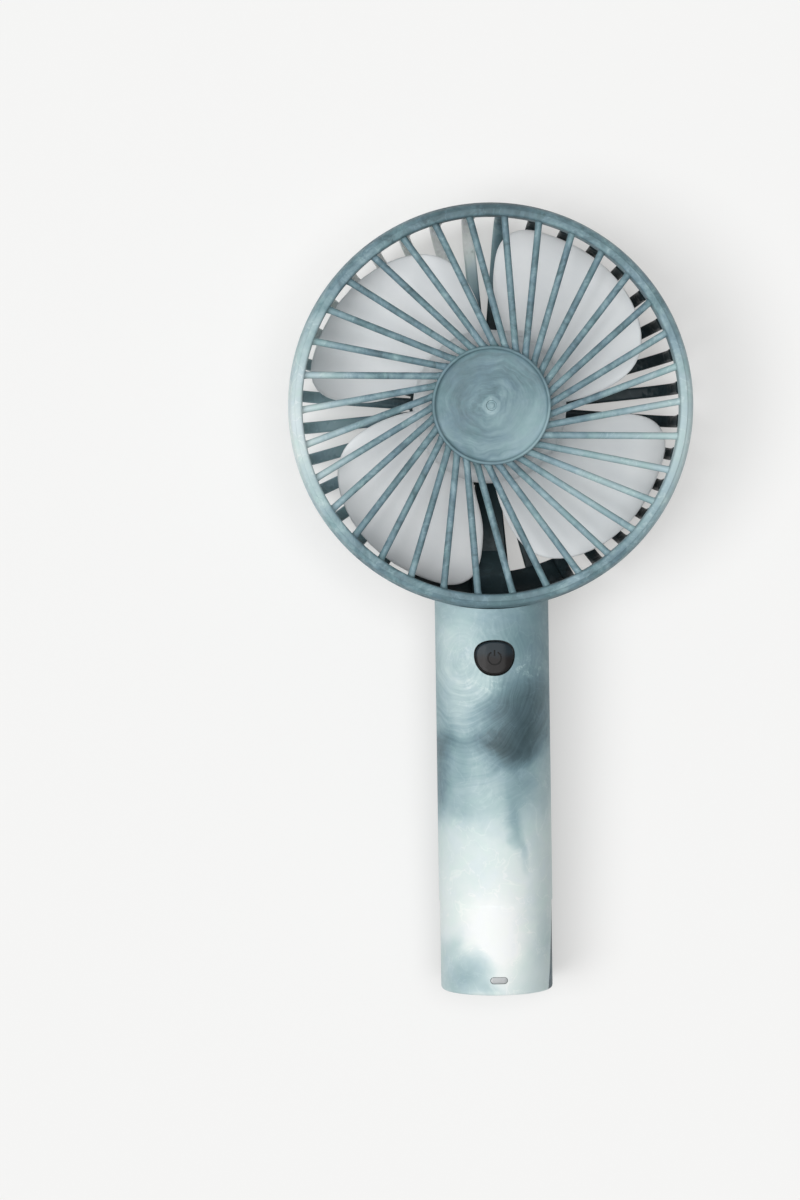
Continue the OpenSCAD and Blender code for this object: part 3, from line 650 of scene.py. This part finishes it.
def bar_path(depth, reach):
    """Places along a rear bar at a depth under its outer face, with the way into the bar."""
    corner, radius = 42.0, 9.9
    path = [(r, depth, 0.0, 1.0) for r in (21.2, 22.4, 26, 30, 34, 38)]
    if reach < 45:
        return path + [(reach - 1.4, depth, 0.0, 1.0), (reach, depth, 0.0, 1.0)]
    for i in range(17):
        a = math.radians(-90 + 90 * i / 16)
        c, s = math.cos(a), math.sin(a)
        path.append((corner + (radius - depth) * c, radius + (radius - depth) * s, -c, -s))
    wall = corner + radius - depth
    return path + [(wall, 14.0, -1.0, 0.0), (wall, 18.2, -1.0, 0.0), (wall, 19.4, -1.0, 0.0)]


def bar_edge(side, inner, reach):
    """The sliver that comes off one long edge of a bar, which runs out at both ends."""
    half = 1.55
    path = bar_path(2.2 if inner else 0.0, reach)
    rings = []
    for k, (r, z, nr, nz) in enumerate(path):
        size = 0.14 if k in (0, len(path) - 1) else (0.6 if inner else 0.75)
        outline = [(half + 0.12, -0.1), (half - size, -0.1)]
        outline += arc(half - size, size, size, -90, 0, 5) + [(half + 0.12, size)]
        flip = -1 if inner else 1
        rings.append([(r + n * nr * flip, side * w, z + n * nz * flip) for w, n in outline])
    return sweep_rings(rings)


def make_rear_grille():
    """The moulded basket with its bars' edges rounded."""
    grille = softened("rear_grille", 0.0)
    edges = []
    for i in range(REAR_BARS):
        degrees = REAR_TURN + 360 / REAR_BARS * i
        if NECK_SPAN[0] < degrees < NECK_SPAN[1]:
            continue
        short = COLLAR_SPAN[0] < degrees < COLLAR_SPAN[1]
        reach = SHORT_REACH if short else FULL_REACH
        for side in (1, -1):
            for inner in (False, True):
                edges.append(turned(bar_edge(side, inner, reach), degrees))
    combine(grille, [make_object("bar_edges", joined(edges))], "DIFFERENCE")
    finish_piece(grille, "housing", ["rear_grille"], rear_marble)


# ---- Power button ----

BUTTON_S = 65.4
BUTTON_TOP = 15.3
BUTTON_WIDTH = 9.8
BUTTON_HEIGHT = 8.6


def at_button(points):
    """Points given across, toward the head from the button's middle, and above the axis."""
    return [(x * MM, (HEAD_Y - BUTTON_S + y) * MM, (z + AXIS_Z) * MM) for x, y, z in points]


def shield(width, height, steps=120):
    """The button's outline: round, and wider toward the head."""
    points = []
    for i in range(steps):
        c, s = math.cos(math.tau * i / steps), math.sin(math.tau * i / steps)
        x = width / 2 * math.copysign(abs(c) ** 0.85, c) * (1 + 0.13 * s)
        points.append((x, height / 2 * math.copysign(abs(s) ** 0.9, s)))
    return points


def button_loop(inset, drop=0.0, level=None):
    """The outline drawn in by the inset, at a level or that far under the curved top."""
    loop = []
    for x, y in shield(BUTTON_WIDTH - 2 * inset, BUTTON_HEIGHT - 2 * inset):
        top = math.sqrt(BUTTON_TOP ** 2 - x ** 2)
        loop.append((x, y, top - drop if level is None else level))
    return loop


def make_button():
    edge = 0.45
    loops = [[(r * math.cos(math.tau * i / 120), r * math.sin(math.tau * i / 120), z)
              for i in range(120)] for r, z in ((1.85, 9.62), (2.0, 9.75), (2.0, 10.2))]
    loops += [button_loop(-0.7, level=10.2), button_loop(-0.8, level=10.3)]
    loops += [button_loop(-0.8, level=10.9), button_loop(-0.7, level=11.0)]
    loops += [button_loop(0, level=11.0), button_loop(0, drop=edge + 0.6)]
    for inset, rise in arc(edge, 0, edge, 180, 90, 6):
        loops.append(button_loop(inset, drop=edge - rise))
    loops += [button_loop(edge + 3.6 * k / 6, drop=0.0) for k in range(1, 7)]
    button = make_object("button", sweep_rings(loops), at_button)
    ring = lathe([(1.5, 14.85), (1.9, 14.85), (1.9, 16), (1.5, 16)], 60, 118, 304)
    bar = sweep_rings([[(-0.2, y, 14.85), (0.2, y, 14.85), (0.2, y, 16), (-0.2, y, 16)]
                       for y in (0.5, 2.1)])
    combine(button, [make_object("symbol", joined([ring, bar]), at_button)], "DIFFERENCE")
    finish_piece(button, "power_button", ["power_button"], gloss_black, 40)


# ---- Small moulded and pressed parts ----

SMALL_PARTS = [
    ("motor_back_cover", 0.3, "dark_marbled_plastic"), ("indicator_lens", 0.2, "lens_plastic"),
    ("shell_screws", 0.12, "steel"), ("charge_socket", 0.1, "tinned_metal"),
]


def make_small_parts():
    for name, width, slot in SMALL_PARTS:
        piece = softened(name, width, clamp=True)
        finish_piece(piece, "housing", [name], MATERIALS[name])


make_impeller()
make_front_grille()
make_rear_grille()
make_button()
make_small_parts()


# ---- Camera, floor and light ----

def make_camera():
    data = bpy.data.cameras.new("camera")
    data.lens = 93.4
    data.sensor_width = 36
    data.clip_end = 20
    camera = bpy.data.objects.new("camera", data)
    bpy.context.scene.collection.objects.link(camera)
    camera.location = Vector((-33.4, 26.5, 840.9)) * MM
    camera.rotation_euler = [math.radians(a) for a in (-1.832, -0.673, -0.877)]
    bpy.context.scene.camera = camera


FLOOR_TILT = math.radians(2.07)  # the head's dome and the handle's back end both touch the floor
DOME_EDGE = 8.5 * MM


def make_floor():
    half = 8.0
    mesh = bpy.data.meshes.new("floor")
    corners = [(-half, -half, 0), (half, -half, 0), (half, half, 0), (-half, half, 0)]
    mesh.from_pydata(corners, [], [(0, 1, 2, 3)])
    floor = bpy.data.objects.new("floor", mesh)
    bpy.context.scene.collection.objects.link(floor)
    floor.location = (0, DOME_EDGE, -0.02 * MM)
    floor.rotation_euler = (-FLOOR_TILT, 0, 0)
    g = Graph("floor")
    mesh.materials.append(g.shader({
        "Base Color": (0.52, 0.52, 0.52, 1), "Roughness": 0.9, "Specular IOR Level": 0.0,
        "Emission Color": (0.36, 0.358, 0.35, 1), "Emission Strength": 1.0,
    }))


def make_sun(name, toward, strength, spread):
    """A wide soft light that shines from the direction given."""
    data = bpy.data.lights.new(name, "SUN")
    data.energy = strength
    data.angle = math.radians(spread)
    light = bpy.data.objects.new(name, data)
    bpy.context.scene.collection.objects.link(light)
    light.rotation_mode = "QUATERNION"
    light.rotation_quaternion = Vector(toward).to_track_quat("Z", "Y")


def make_world():
    scene = bpy.context.scene
    world = bpy.data.worlds.new("studio")
    scene.world = world
    world.use_nodes = True
    tree = world.node_tree
    tree.nodes.clear()
    out = tree.nodes.new("ShaderNodeOutputWorld")
    seen = tree.nodes.new("ShaderNodeBackground")
    seen.inputs["Color"].default_value = (0.913, 0.913, 0.913, 1)
    glow = tree.nodes.new("ShaderNodeBackground")
    glow.inputs["Color"].default_value = (0.98, 0.99, 1.0, 1)
    glow.inputs["Strength"].default_value = 0.16
    path = tree.nodes.new("ShaderNodeLightPath")
    pick = tree.nodes.new("ShaderNodeMixShader")
    tree.links.new(path.outputs["Is Camera Ray"], pick.inputs[0])
    tree.links.new(glow.outputs[0], pick.inputs[1])
    tree.links.new(seen.outputs[0], pick.inputs[2])
    tree.links.new(pick.outputs[0], out.inputs["Surface"])
    scene.view_settings.view_transform = "Standard"


make_camera()
make_floor()
make_world()
make_sun("key", (-0.60, -0.10, 1.0), 1.55, 32)
make_sun("top", (0.05, 0.0, 1.0), 1.55, 42)
